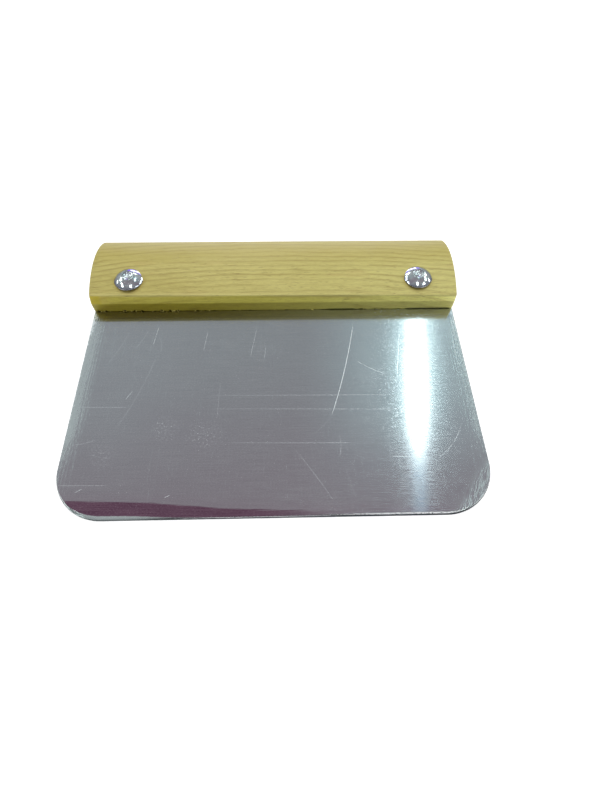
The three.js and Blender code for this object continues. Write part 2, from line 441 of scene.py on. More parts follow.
GROUND_TILT = math.radians(0.9)
GROUND_START = (-70.4, -78.1)  # a point on the line where the hand-ground bevel meets the face
GROUND_FALL = 0.068  # how fast that line drops towards the right
REFLECTION_BORDER_FALL = 0.042  # how fast the border of the bevel's painted plum reflection drops, with a step of its own in the middle
REFLECTION_BORDER_STEP = 1.35
SIDE_FLARE = math.atan2((BLADE_WIDTH - HANDLE_LENGTH) / 2, BLADE_REACH - BLADE_CORNER_RADIUS)
UV_SCALE = 0.01  # texture units for each millimetre of the blade

# Marks of use on the face, each (start, end, sideways bend, half width, strength).
LONG_MARKS = [
    ((-26.5, -38.5), (49.5, -39.3), 0, 0.13, 0.5),
    ((-73, -42.7), (-53.5, -43), 0, 0.14, 0.6),
    ((-27, -44), (66, -45.6), 0, 0.13, 0.5),
    ((-18, -57.7), (31.5, -58.5), 0, 0.13, 0.5),
    ((-76, -72.6), (-57.5, -72.9), 0, 0.14, 0.65),
    ((41, -63.8), (49, -63.9), 0, 0.15, 0.6),
    ((31.5, -6.5), (20.5, -48.5), 0.9, 0.2, 1),
    ((20.5, -48), (12, -56), 0.6, 0.14, 0.22),
    ((49.8, -10.5), (46.6, -32.5), 0, 0.13, 0.7),
    ((31.2, -24), (43, -30.5), -0.5, 0.15, 0.6),
    ((-57, -9), (-65, -26), 0.5, 0.15, 0.4),
    ((-49.6, -9), (-55, -19), 0.2, 0.13, 0.5),
    ((-46, -7.4), (-47.6, -16.4), 0, 0.16, 0.9),
    ((-45.8, -12), (-44.5, -19.5), 0.8, 0.12, 0.45),
    ((-45.6, -20.5), (-58.5, -53), 1.2, 0.15, 0.4),
    ((-26.5, -10), (-27.8, -19.2), 0, 0.15, 0.7),
    ((-7, -8), (-9.6, -22.4), 0, 0.14, 0.7),
    ((-3.5, -17.4), (-4.2, -23.4), 0, 0.14, 0.6),
    ((-20.4, -33), (-21, -48), -0.3, 0.12, 0.5),
    ((6.5, -60), (20.5, -80.5), 0.4, 0.14, 0.35),
    ((24.8, -68.5), (27.8, -79), 0, 0.12, 0.28),
    ((23, -54.5), (22.7, -64), 0.8, 0.13, 0.4),
    ((68.5, -51), (57.5, -65), 1.6, 0.2, 0.45),
    ((-68.8, -75.3), (-66.3, -73.9), 0, 0.16, 0.9),
    ((-38, -77.5), (-36, -76.6), 0, 0.16, 0.9),
    ((-72.7, -57.8), (-64, -55.8), -0.3, 0.15, 0.5),
    ((-55.5, -39.8), (-53.2, -36.1), 0, 0.15, 0.9),
]

# Fine hair scratches, each (direction, (length, width, 1), cut-off, seed): stretched noise that is
# cut off near its top.
HAIR_SCRATCHES = [
    (1.25, (16, 0.22, 1), 0.68, 3),
    (2.05, (14, 0.20, 1), 0.69, 11),
    (2.75, (15, 0.20, 1), 0.70, 19),
]

# Rubbed patches, and patches that are full of fine hair scratches, each (x, y, radius).
RUBBED_PATCHES = [(-40, -52, 6), (-25.5, -55, 8), (-61, -61.5, 6), (38, -30, 9)]
HAIR_PATCHES = [(40, -22, 20), (-55, -22, 20), (-5, -14, 15), (30, -62, 10)]

STREAK_X = 51  # where the tube's reflection runs down the blade


def scratch_mask(nodes, x, y, mark):
    """1 on the middle of one scratch, fading to its sides and ends."""
    (x0, y0), (x1, y1), bend, half_width, strength = mark
    length = math.hypot(x1 - x0, y1 - y0)
    ux, uy = (x1 - x0) / length, (y1 - y0) / length
    along = nodes.plane(x, y, ux / length, uy / length, -(x0 * ux + y0 * uy) / length)
    across = nodes.plane(x, y, -uy / half_width, ux / half_width, (x0 * uy - y0 * ux) / half_width)
    belly = nodes.product(along, nodes.minus(1, along))
    across = nodes.muladd(belly, -4 * bend / half_width, across)
    body = nodes.minus(1, nodes.math("ABSOLUTE", across), clamp=True)
    ends = nodes.product(belly, 9 * strength, clamp=True)
    return nodes.product(body, nodes.math("MINIMUM", ends, strength))


def wear_marks(nodes, place, x, y):
    """Bright marks of use: the long scratches, short hairs in patches, and specks."""
    marks = 0
    for mark in LONG_MARKS:
        marks = nodes.highest(marks, scratch_mask(nodes, x, y, mark))
    broken = nodes.noise(place, (1.1, 1.1, 1))
    marks = nodes.product(marks, nodes.smooth(broken, 0.25, 0.6, 0.4, 1))
    patches = near_patches(nodes, x, y, HAIR_PATCHES)
    hairs = 0
    for turn, size, cut_off, seed in HAIR_SCRATCHES:
        hair = nodes.noise(place, size, (0, 0, turn), detail=1, location=(seed, seed * 0.7, 0),
                           kind="TEXTURE")
        hairs = nodes.highest(hairs, nodes.smooth(hair, cut_off, cut_off + 0.05))
    specks = nodes.noise(place, (1.5, 1.5, 1), location=(6, 6, 0))
    hairs = nodes.product(
        nodes.highest(hairs, nodes.smooth(specks, 0.74, 0.78)),
        nodes.smooth(patches, 0, 0.7, 0.04, 0.20))
    rightward = nodes.smooth(x, -20, 35, 0.7, 1.15)
    marks = nodes.product(nodes.highest(marks, hairs), rightward, clamp=True)
    return nodes.highest(marks, rubbed_patches(nodes, place, x, y))


def rubbed_patches(nodes, place, x, y):
    """Faint clusters of white specks where something rubbed."""
    grit = nodes.noise(place, (1.3, 1.6, 1), location=(2, 7, 0), detail=3, roughness=0.7)
    near = near_patches(nodes, x, y, RUBBED_PATCHES)
    return nodes.product(nodes.smooth(grit, 0.52, 0.72, 0, 0.4), near, clamp=True)


def near_patches(nodes, x, y, patches):
    """1 in the middle of each patch, falling to 0 at its radius."""
    near = 0
    for cx, cy, radius in patches:
        squares = nodes.squared_distance(x, y, (cx, cy))
        near = nodes.highest(near, nodes.muladd(squares, -1 / radius ** 2, 1))
    return near


def distance_from_side(nodes, x, y):
    """Millimetres from the blade's nearer side."""
    half_width = nodes.muladd(y, -math.tan(SIDE_FLARE), HANDLE_LENGTH / 2)
    return nodes.minus(half_width, nodes.math("ABSOLUTE", x))


def side_grinding(nodes, place, x, y):
    """Lighter lines ground along the blade's sides, thinning out inwards, and over one corner."""
    from_side = distance_from_side(nodes, x, y)
    mirrored = nodes.node("ShaderNodeCombineXYZ", {"X": from_side, "Y": y}).outputs[0]
    lines = nodes.noise(mirrored, (2.1, 0.035, 1), detail=4, roughness=0.7)
    grain = nodes.noise(mirrored, (3, 0.6, 1))
    density = nodes.product(
        nodes.smooth(from_side, 9.5, -2), nodes.smooth(y, -76, -46, 0.35, 1),
        nodes.smooth(y, -1, -9, 0.3, 1), nodes.smooth(x, -60, 60, 1.3, 0.86))
    level = nodes.muladd(density, 0.46, nodes.minus(lines, 0.66))
    level = nodes.muladd(nodes.minus(grain, 0.5), 0.5, level)
    streaks = nodes.noise(place, (4.2, 0.45, 1), (0, 0, 1.2), detail=3, kind="TEXTURE")
    corner = nodes.product(
        nodes.smooth(nodes.plane(x, y, 1, -0.73, -48.2), 71.5, 78),
        nodes.smooth(streaks, 0.34, 0.58, 0, 0.9), nodes.smooth(y, -56, -68))
    return nodes.highest(nodes.smooth(level, -0.09, 0.30), corner)


def side_burr(nodes, place, x, y):
    """Bright nicks along the very edge of the blade's two sides, widest next to the handle."""
    from_side = distance_from_side(nodes, x, y)
    nicks = nodes.noise(place, (1.6, 0.8, 1), location=(3, 5, 0), detail=3, roughness=0.7)
    reach = nodes.smooth(y, -4, -30, 0.20, 0.12)
    wedge = nodes.product(
        nodes.smooth(nodes.plane(from_side, y, 1, 0.62, 0), 0.5, -0.5),
        nodes.smooth(y, -13, -4.5, 0, 0.15))
    level = nodes.math("ADD", nodes.muladd(from_side, -0.14, nicks), reach)
    return nodes.product(
        nodes.smooth(nodes.math("ADD", level, wedge), 0.56, 0.74),
        nodes.smooth(x, -60, 60, 0.7, 0.35), nodes.smooth(y, -62, -45))


def streak_glints(nodes, place, x, y):
    """Painted glint marks: bright nicks put thickest next to where the tube's reflection runs,
    standing in for the tube's light that they catch.
    """
    nicks = nodes.noise(place, (1.1, 1.5, 1), location=(8, 2, 0), detail=4, roughness=0.75)
    return nodes.product(
        nodes.smooth(nicks, 0.552, 0.66), nodes.smooth(nodes.apart(x, STREAK_X), 27, 7),
        nodes.smooth(y, -70, -48, 0, 0.5))


def steel_material():
    nodes = new_material("brushed_stainless")
    uv = nodes.node("ShaderNodeUVMap", uv_map="blade_plane").outputs["UV"]
    place = nodes.stretch(uv, (1 / UV_SCALE, 1 / UV_SCALE, 0))
    x, y, _ = nodes.split(place)
    # Vertex layers: the sheet's cut edge, painted dark as shade, and its rim.
    shaded_cut_edge, rim = (
        nodes.node("ShaderNodeAttribute", attribute_name=layer).outputs["Fac"]
        for layer in ("shaded_cut_edge", "rim"))

    brush = nodes.noise(place, (0.07, 3, 1), detail=5, roughness=0.72)
    short_brush = nodes.noise(place, (0.25, 5.5, 1), location=(4, 2, 0), detail=3)
    speckle = nodes.noise(place, (1.6, 4, 1), detail=3, roughness=0.7)
    cloud = nodes.noise(place, (0.03, 0.05, 1), location=(2, 8, 0))
    side = side_grinding(nodes, place, x, y)
    # Marks of use, nicks along the sides, and the painted glint marks next to the tube's
    # reflection.
    scratches_and_glints = nodes.highest(
        wear_marks(nodes, place, x, y), side_burr(nodes, place, x, y), streak_glints(nodes, place, x, y))

    # The hand-ground bevel with a painted reflection: a plum colour over it and a plum haze above
    # it, with a border feathered by brushing.
    line = nodes.muladd(x, REFLECTION_BORDER_FALL, -GROUND_START[1] + REFLECTION_BORDER_FALL * -GROUND_START[0])
    line = nodes.math("ADD", line, nodes.smooth(x, -45, -12, 0, REFLECTION_BORDER_STEP))
    beyond = nodes.math("ADD", y, line)
    beyond = nodes.muladd(nodes.minus(brush, 0.5), 2.2, beyond)
    ground = nodes.product(
        nodes.smooth(beyond, 0.25, -0.3), nodes.minus(1, rim, clamp=True),
        nodes.smooth(x, 30, -8), nodes.smooth(x, -74, -70))
    reflection_haze_above = nodes.smooth(beyond, 5, 0, 0, 0.12)

    colour = nodes.ramp(brush, [(0.3, (0.465, 0.47, 0.48)), (0.7, (0.54, 0.545, 0.55))])
    colour = nodes.mix(nodes.smooth(speckle, 0.45, 0.72), colour, (0.70, 0.71, 0.71), share=0.5)
    colour = nodes.mix(nodes.smooth(cloud, 0.35, 0.7), colour, (0.47, 0.45, 0.47), share=0.25)
    colour = nodes.mix(reflection_haze_above, colour, (0.45, 0.30, 0.38))
    colour = nodes.mix(side, colour, (0.68, 0.78, 0.755), share=0.72)
    bevel_reflection_colour = nodes.mix(nodes.smooth(brush, 0.35, 0.65), (0.20, 0.098, 0.157), (0.325, 0.195, 0.26))
    bevel_reflection_colour = nodes.mix(nodes.smooth(speckle, 0.5, 0.66), bevel_reflection_colour, (0.44, 0.33, 0.38), share=0.8)
    colour = nodes.mix(ground, colour, bevel_reflection_colour)
    # Scratches and nicks are white, and so are the painted glint marks next to the tube's
    # reflection.
    colour = nodes.mix(scratches_and_glints, colour, (0.92, 1, 1))
    # Painted shade: the cut edge is painted near black, standing in for the shadow under the
    # sheet's edge.
    colour = nodes.mix(shaded_cut_edge, colour, (0.015, 0.02, 0.03))

    # Painted shade: the sheet is darkened and tinted yellow where it meets the wood, standing in
    # for the handle's shadow and its mirrored front, less so towards the right.
    contact_shade = nodes.mix(nodes.smooth(x, -60, 85), (0.70, 0.67, 0.42), (1.03, 1.06, 1.1))
    contact_shaded = nodes.mix(1, colour, contact_shade, "MULTIPLY")
    contact_shaded = nodes.mix(nodes.smooth(y, -2.7, -3.4), contact_shaded, (0, 0, 0), share=0.25)
    contact_shade_share = nodes.minus(nodes.smooth(y, -5.3, -4.5), side, clamp=True)
    colour = nodes.mix(contact_shade_share, colour, contact_shaded)
    burr = nodes.product(
        rim, nodes.smooth(speckle, 0.35, 0.50), nodes.smooth(x, 12, 42, 0.12, 1),
        nodes.smooth(y, -70, -82), nodes.smooth(x, 66, 60), nodes.minus(1, shaded_cut_edge))
    colour = nodes.mix(nodes.product(rim, nodes.smooth(x, -30, -50)), colour,
                       (0.60, 0.68, 0.66), share=0.8)
    colour = nodes.mix(burr, colour, (0.97, 1, 1))

    # Scratches, painted glint marks, burrs and ground sides scatter light instead of mirroring it.
    matt = nodes.highest(
        nodes.product(scratches_and_glints, 0.8), nodes.product(burr, 0.85), nodes.product(side, 0.10))
    metallic = nodes.minus(1, matt)

    roughness = nodes.smooth(short_brush, 0.35, 0.68, 0.08, 0.17)
    roughness = nodes.highest(
        nodes.muladd(nodes.smooth(brush, 0.4, 0.75), 0.06, roughness), nodes.product(side, 0.36),
        nodes.product(scratches_and_glints, 0.6), nodes.product(shaded_cut_edge, 0.35))

    height = nodes.muladd(brush, 0.7, nodes.product(short_brush, 0.3))
    height = nodes.muladd(scratches_and_glints, -1.5, height)
    height = nodes.muladd(side, -0.5, height)
    normal = nodes.bump(height, 0.000004, 0.5)
    tangent = nodes.node("ShaderNodeTangent", direction_type="UV_MAP", uv_map="blade_plane")
    nodes.set(Base_Color=colour, Metallic=metallic, Roughness=roughness, Anisotropic=0.85,
              Anisotropic_Rotation=0.25, Normal=normal, Tangent=tangent.outputs["Tangent"])
    return nodes.owner


# ---------------- polished rivets


def distance_from_rivet(nodes, x, y):
    """Millimetres from the axis of the nearer rivet."""
    aside = nodes.math("ABSOLUTE", x)
    return nodes.math("SQRT", nodes.squared_distance(aside, y, (RIVET_X, RIVET_Y)))


def chrome_material(name, roughness_low, roughness_high):
    nodes = new_material(name)
    place = nodes.blade_frame()
    x, y, _ = nodes.split(place)
    dents = nodes.noise(place, (0.55, 0.55, 0.55))
    scuffs = nodes.noise(place, (1.2, 5, 2), (0.4, 0.2, 0.9), detail=3, roughness=0.7)
    fine = nodes.smooth(scuffs, 0.62, 0.72)
    colour = nodes.ramp(dents, [(0.3, (0.47, 0.515, 0.52)), (0.7, (0.65, 0.69, 0.69))])
    # Painted reflection: the dome darkens to violet towards its rim.
    dark_rim_reflection = nodes.smooth(distance_from_rivet(nodes, x, y), 3.8, CAP_RADIUS)
    colour = nodes.mix(dark_rim_reflection, colour, (0.35, 0.33, 0.42), share=0.6)
    colour = nodes.mix(fine, colour, (0.85, 0.85, 0.86), share=0.4)
    roughness = nodes.smooth(scuffs, 0.3, 0.75, roughness_low, roughness_high)
    height = nodes.muladd(fine, -0.06, dents)
    normal = nodes.bump(height, 0.00018, 0.5)
    nodes.set(Base_Color=colour, Metallic=1, Roughness=roughness, Normal=normal)
    return nodes.owner


wood = wood_material()
steel = steel_material()
chrome = chrome_material("polished_rivet", 0.04, 0.13)
spun_chrome = chrome_material("spun_rivet_end", 0.08, 0.22)

# ---------------- handle

CROWN_STEPS = 40
BACK_STEPS = 18
ROUNDING_STEPS = 6
HANDLE_SPANS = 60
KERF_SPANS = 420
SEAT_STEPS = 12
HANDLE_HOLE_END = 11
EASING_STEPS = 5
EASING_BLEND = 0.35
FRONT_STEPS = 4
GAPE = 0.5
CHUNK = 0.85  # the deepest bites that the saw took out of the lip
SPLINTER_TRIES = 100
SPLINTER_SPANS = 4
GAPING = [(20.5, 33.5), (52.5, 72)]  # where the kerf gapes, from and to


def curve_round(before, corner, after, steps):
    """Points that round a corner between two others, both ends included."""
    points = []
    for i in range(steps + 1):
        t = i / steps
        points.append(tuple(
            before[k] * (1 - t) ** 2 + 2 * corner[k] * t * (1 - t) + after[k] * t ** 2
            for k in (0, 1)))
    return points


def handle_section(x):
    """The D-shaped section without its kerf, as (y, z) points.

    The easing varies a little along the handle, as sanding does.
    """
    half = HANDLE_THICKNESS / 2
    back_centre = HANDLE_DEPTH - BACK_RADIUS
    run = back_centre - CROWN_PEAK
    radius = (run ** 2 + half ** 2 - BACK_RADIUS ** 2) / (HANDLE_THICKNESS - 2 * BACK_RADIUS)
    centre = half - radius
    tangent = math.atan2(-centre, run)

    def crown(y):
        return centre + math.sqrt(radius ** 2 - (y - CROWN_PEAK) ** 2)

    easing_run = (
        EASING_RUN - EASING_TAPER * x + 0.07 * math.sin(x / 11) + 0.04 * math.sin(x / 4.3 + 1))
    foot = EASING_FOOT - 0.0045 * x + 0.10 * math.sin(x / 17 + 2)
    upper_crease = (easing_run, crown(easing_run))
    along = Vector(upper_crease) - Vector((0, foot))
    along.normalize()
    lower_start = Vector((0, foot)) + along * EASING_BLEND
    upper_start = Vector(upper_crease) - along * EASING_BLEND
    crown_start = easing_run + EASING_BLEND
    start = math.atan2(crown(crown_start) - centre, crown_start - CROWN_PEAK)

    upper = [(0, (foot - EASING_BLEND) * (i + 0.5) / FRONT_STEPS) for i in range(FRONT_STEPS)]
    upper += curve_round((0, foot - EASING_BLEND), (0, foot), lower_start, EASING_STEPS)
    upper += curve_round(upper_start, upper_crease, (crown_start, crown(crown_start)), EASING_STEPS)
    for i in range(1, CROWN_STEPS):
        angle = start + (tangent - start) * i / CROWN_STEPS
        upper.append((CROWN_PEAK + radius * math.cos(angle), centre + radius * math.sin(angle)))
    for i in range(BACK_STEPS // 2):
        angle = tangent * (1 - 2 * i / BACK_STEPS)
        upper.append((back_centre + BACK_RADIUS * math.cos(angle), BACK_RADIUS * math.sin(angle)))
    upper.append((HANDLE_DEPTH, 0))
    lower = [(y, -z) for y, z in reversed(upper[:-1])]
    return upper + lower


def handle_bar():
    """The handle as a closed solid with rounded ends, before anything is cut out of it."""
    bm = bmesh.new()
    half = HANDLE_LENGTH / 2
    left_end = []
    for i in range(ROUNDING_STEPS, -1, -1):
        angle = math.pi / 2 * i / ROUNDING_STEPS
        left_end.append(
            (-half + END_ROUNDING * (1 - math.sin(angle)), END_ROUNDING * (1 - math.cos(angle))))
    stations = list(left_end)
    for i in range(1, HANDLE_SPANS):
        straight = 2 * half - 2 * END_ROUNDING
        stations.append((-half + END_ROUNDING + straight * i / HANDLE_SPANS, 0))
    stations += [(-x, inset) for x, inset in reversed(left_end)]
    middle = HANDLE_DEPTH / 2
    rings = []
    for x, inset in stations:
        x = round(x, 6)
        squeeze_y = 1 - 2 * inset / HANDLE_DEPTH
        squeeze_z = 1 - 2 * inset / HANDLE_THICKNESS
        rings.append([
            bm.verts.new((x, middle + (y - middle) * squeeze_y, z * squeeze_z))
            for y, z in handle_section(x)])
    loft(bm, rings)
    return bm


def raggedness(x):
    """How badly the saw tore the kerf's upper lip: most at the left, and in one short stretch."""
    left = 1 / (1 + math.exp((x + 32) / 3))
    stretch = math.exp(-((x - 38) / 4) ** 2)
    return 0.25 + 0.75 * left + 0.4 * stretch


def gape(x):
    """How far the kerf stands open above the blade in two clean stretches towards the right."""
    openness = 0
    for start, end in GAPING:
        openness = max(openness, min(1, (x - start) / 1.5, (end - x) / 1.5))
    return GAPE * max(0, openness)


def chip_depth(x, chance):
    """How much wood is chipped off the kerf's upper lip at x."""
    bite = max(0, math.sin(1.3 * x + 2 * math.sin(0.45 * x)) - 0.4) / 0.6
    torn = raggedness(x) * (0.22 * chance + CHUNK * bite * bite) * (1 - 0.9 * gape(x) / GAPE)
    return 0.03 + gape(x) + torn


def kerf_cutter():
    """The saw's slot with a ragged upper lip along the front face."""
    rng = random.Random(5)
    bm = bmesh.new()
    half = BLADE_THICKNESS / 2 + KERF_GAP
    reach = HANDLE_LENGTH / 2 + 1
    rings = []
    for i in range(KERF_SPANS + 1):
        x = -reach + 2 * reach * i / KERF_SPANS
        chip = chip_depth(x, rng.random() ** 2)
        section = [(-1, -half), (KERF_DEPTH, -half), (KERF_DEPTH, half), (3, half),
                   (0.9, half + chip * 0.85), (-1, half + chip)]
        rings.append([bm.verts.new((x, y, z)) for y, z in section])
    loft(bm, rings)
    return bm


def dome_height(radius):
    return CAP_BASE + CAP_HEIGHT - dome_radius + math.sqrt(dome_radius ** 2 - radius ** 2)


def cap_seat(x, flip):
    """The hollow that a cap has pressed in the wood: the cap's own shape and a hair more."""
    outer = CAP_RADIUS - CAP_TRIM
    floor = CAP_BASE - SEAT_GAP
    profile = [(0, floor), (outer + SEAT_GAP, floor),
               (outer + SEAT_GAP, dome_height(outer) + SEAT_GAP)]
    for i in range(1, SEAT_STEPS):
        radius = outer * (1 - i / SEAT_STEPS)
        profile.append((radius, dome_height(radius) + SEAT_GAP))
    profile.append((0, dome_height(0) + SEAT_GAP))
    seat = lathe(profile, x, flip)
    return seat if flip else lean_back(seat, x)


def lean_back(bm, x):
    """Tilts an upper cap, or the seat that it presses, about the middle of its base."""
    pivot = Vector((x, RIVET_Y, CAP_BASE + CAP_HEIGHT / 2))
    bmesh.ops.rotate(bm, cent=pivot, matrix=Matrix.Rotation(CAP_TILT, 3, "X"), verts=bm.verts)
    return bm


def build_handle():
    piece = mesh_object("wooden_handle", handle_bar())
    cutters = [kerf_cutter()]
    for x in (-RIVET_X, RIVET_X):
        cutters += [pin_hole(x, HANDLE_HOLE_END), cap_seat(x, False), cap_seat(x, True)]
    cut(piece, cutters)
    finish_piece(piece, wood, ["handle"])


def splinter(bm, rng, x, top):
    """One sliver that has come loose at its root and droops outwards along the lip."""
    length = rng.uniform(0.3, 1)
    width = rng.uniform(0.24, 0.46)
    run = rng.choice((-1, 1)) * rng.uniform(0.3, 1)
    droop = rng.uniform(0, 0.10)
    out = rng.uniform(0.25, 0.85)
    rings = []
    for step in range(SPLINTER_SPANS + 1):
        s = step / SPLINTER_SPANS
        centre = Vector(
            (x + run * length * s, 0.02 - out * s, top + 0.25 - droop * s - 0.1 * s * s))
        size = width * (1 - 0.8 * s)
        rings.append([
            bm.verts.new(centre + Vector(offset) * size)
            for offset in ((-0.3, 0.5, -0.5), (0, -0.6, 0), (0.3, 0.4, 0.6))])
    loft(bm, rings)


def build_splinters():
    """Fibres that the saw left hanging from the kerf's upper lip."""
    rng = random.Random(11)
    bm = bmesh.new()
    top = BLADE_THICKNESS / 2 + KERF_GAP
    for _ in range(SPLINTER_TRIES):
        x = rng.uniform(-HANDLE_LENGTH / 2 + 1.5, HANDLE_LENGTH / 2 - 2)
        if rng.random() < raggedness(x) - gape(x) / GAPE:
            splinter(bm, rng, x, top)
    splinters = mesh_object("kerf_splinters", bm)
    finish_piece(splinters, torn_wood_material(), [])


build_handle()
build_splinters()

# ---------------- blade

CORNER_STEPS = 40
TANG_CORNER_STEPS = 6
EDGE_SPANS = 160
RIM_DROP = 0.47  # how far the ground rim falls to the sheet's cut edge
RIM_START = 0.26  # the cut edge's chamfer, which the steel paints dark as shade, at most
BLADE_HOLE_END = 2


def blade_outline():
    """Points round the sheet, each with its outward normal."""
    lower_y = -BLADE_REACH + BLADE_CORNER_RADIUS
    upper_y = TANG_DEPTH - TANG_CORNER_RADIUS

    def half_width_at(y):
        return HANDLE_LENGTH / 2 - y * math.tan(SIDE_FLARE)

    lower_x = half_width_at(lower_y) - BLADE_CORNER_RADIUS / math.cos(SIDE_FLARE)
    upper_x = half_width_at(upper_y) - TANG_CORNER_RADIUS / math.cos(SIDE_FLARE)
    quarter = math.pi / 2
    corners = [
        (lower_x, lower_y, BLADE_CORNER_RADIUS, -quarter, SIDE_FLARE, CORNER_STEPS),
        (upper_x, upper_y, TANG_CORNER_RADIUS, SIDE_FLARE, quarter, TANG_CORNER_STEPS),
        (-upper_x, upper_y, TANG_CORNER_RADIUS, quarter, math.pi - SIDE_FLARE,
         TANG_CORNER_STEPS),
        (-lower_x, lower_y, BLADE_CORNER_RADIUS, math.pi - SIDE_FLARE, 3 * quarter, CORNER_STEPS),
    ]
    points = []
    for cx, cy, radius, start, end, steps in corners:
        for i in range(steps + 1):
            angle = start + (end - start) * i / steps
            normal = Vector((math.cos(angle), math.sin(angle), 0))
            points.append((Vector((cx, cy, 0)) + normal * radius, normal))
    left, right = points[-1][0], points[0][0]
    for i in range(1, EDGE_SPANS):
        points.append((left.lerp(right, i / EDGE_SPANS), Vector((0, -1, 0))))
    return points


def rim_width(point, normal):
    """The rim is barely broken at the sides, and ground wider along the edge, most at its left."""
    facing_edge = max(0, -normal.y) ** 4
    leftness = 1 / (1 + math.exp((point.x + 42) / 5))
    rightness = 1 / (1 + math.exp((20 - point.x) / 6))
    ripple = 0.04 * math.sin(point.x * 1.7) + 0.03 * math.sin(point.x * 4.1 + 1)
    return 0.28 + facing_edge * (0.22 + 1.15 * leftness + 0.45 * rightness + ripple)


def blade_sheet():
    """The sheet with its rounded rim, and two vertex layers that mark for the steel its rim and its
    cut edge, which is painted dark as shade.
    """
    bm = bmesh.new()
    half = BLADE_THICKNESS / 2
    foot = half - RIM_DROP
    # Rings from the underside up, each (inset, height, whether the inset is a share of the rim).
    levels = [
        (0.14, -half, False), (0.05, -half + 0.04, False), (0, -half + 0.14, False),
        (0, foot, False), (0, foot + 0.08, True), (0.3, half - 0.22, True),
        (0.75, half - 0.05, True), (1, half, True)]
    outline = blade_outline()
    rings = []
    edge_marks = []
    rim_marks = []
    for inset, z, scaled in levels:
        ring = []
        for point, normal in outline:
            width = rim_width(point, normal)
            start = min(RIM_START, 0.4 * width)
            depth = start + (width - start) * inset if scaled else inset
            place = point - normal * depth
            ring.append(bm.verts.new((place.x, place.y, z)))
            edge_marks.append(1 if inset < 0.2 else 0)
            rim_marks.append(1 if scaled and inset < 0.9 else 0)
        rings.append(ring)
    loft(bm, rings)
    edge_layer = bm.verts.layers.float.new("shaded_cut_edge")
    rim_layer = bm.verts.layers.float.new("rim")
    for vertex, edge_mark, rim_mark in zip(bm.verts, edge_marks, rim_marks):
        vertex[edge_layer] = edge_mark
        vertex[rim_layer] = rim_mark
    return bm


def grind_bevel(bm):
    """The hand-ground bevel: splits the face along a line and lets it fall away beyond it."""
    half = BLADE_THICKNESS / 2
    foot = half - RIM_DROP
    start = Vector((*GROUND_START, 0))
    across = Vector((GROUND_FALL, 1, 0)).normalized()
    faces = [face for face in bm.faces if face.calc_center_median().z > half - 0.3]
    edges = {edge for face in faces for edge in face.edges}
    vertices = {vertex for face in faces for vertex in face.verts}
    bmesh.ops.bisect_plane(
        bm, geom=[*vertices, *edges, *faces], plane_co=start, plane_no=across, dist=1e-4)
    for vertex in bm.verts:
        beyond = -(vertex.co - start).dot(across)
        if beyond > 1e-4 and vertex.co.z > foot:
            share = (vertex.co.z - foot) / RIM_DROP
            vertex.co.z -= beyond * math.tan(GROUND_TILT) * share


def build_blade():
    bm = blade_sheet()
    grind_bevel(bm)
    piece = mesh_object("steel_blade", bm)
    cut(piece, [pin_hole(x, BLADE_HOLE_END) for x in (-RIVET_X, RIVET_X)])
    plane = piece.data.uv_layers.new(name="blade_plane")
    for loop in piece.data.loops:
        place = piece.data.vertices[loop.vertex_index].co
        plane.data[loop.index].uv = (place.x * UV_SCALE, place.y * UV_SCALE)
    finish_piece(piece, steel, ["blade"], sharp_angle=20)


build_blade()

# ---------------- rivets

RIM_RADIUS = 0.18
RIM_TURN = math.radians(130)
RIM_STEPS = 6
DOME_STEPS = 26
MOUTH_GAP = 0.09
PIN_SEGMENTS = 72
PIN_END_RINGS = 18
PIN_SHOULDER = 0.3  # how far the head's side reaches down from the pin's end
CRATER = 0.82  # the radius of the ring round the crater, as a share of the head's


def cap_profile():
    """A domed washer: flat base, rolled rim, dome, and a mouth where the pin's end is spread."""
    hole = PIN_RADIUS + PIN_HOLE_GAP
    mouth = PIN_HEAD_RADIUS + MOUTH_GAP
    rim_centre = CAP_RADIUS - CAP_TRIM - RIM_RADIUS
    profile = [(hole, CAP_BASE), (rim_centre, CAP_BASE)]
    for i in range(1, RIM_STEPS):
        angle = -math.pi / 2 + RIM_TURN * i / RIM_STEPS
        profile.append((
            rim_centre + RIM_RADIUS * math.cos(angle),
            CAP_BASE + RIM_RADIUS + RIM_RADIUS * math.sin(angle)))
    outer = CAP_RADIUS - CAP_TRIM - 0.06
    for i in range(DOME_STEPS + 1):
        radius = outer + (mouth + 0.1 - outer) * i / DOME_STEPS
        profile.append((radius, dome_height(radius)))
    lip = dome_height(mouth)
    return profile + [(mouth + 0.03, lip - 0.03), (mouth, lip - 0.12), (hole, PIN_END - PIN_NECK)]


def build_cap(name, x, flip):
    bm = lathe(cap_profile(), x, flip)
    if not flip:
        lean_back(bm, x)
    finish_piece(mesh_object(name + "_dome", bm), chrome, [name])


def spun_end(radius, angle):
    """Height of the pin's spun end: a raised ring round a crater, with a swirl left by the tool."""
    share = radius / PIN_HEAD_RADIUS
    ring = -0.26 * ((share - CRATER) / (1 - CRATER)) ** 2 if share > CRATER else 0
    bowl = -0.46 * (1 - (share / CRATER) ** 2) if share < CRATER else 0
    swirl = 0.10 * math.sin(2 * angle + 9 * share) * math.exp(-((share - 0.40) / 0.25) ** 2)
    nub = 0.24 * math.exp(-(share / 0.18) ** 2)
    return PIN_END + ring + bowl + swirl + nub


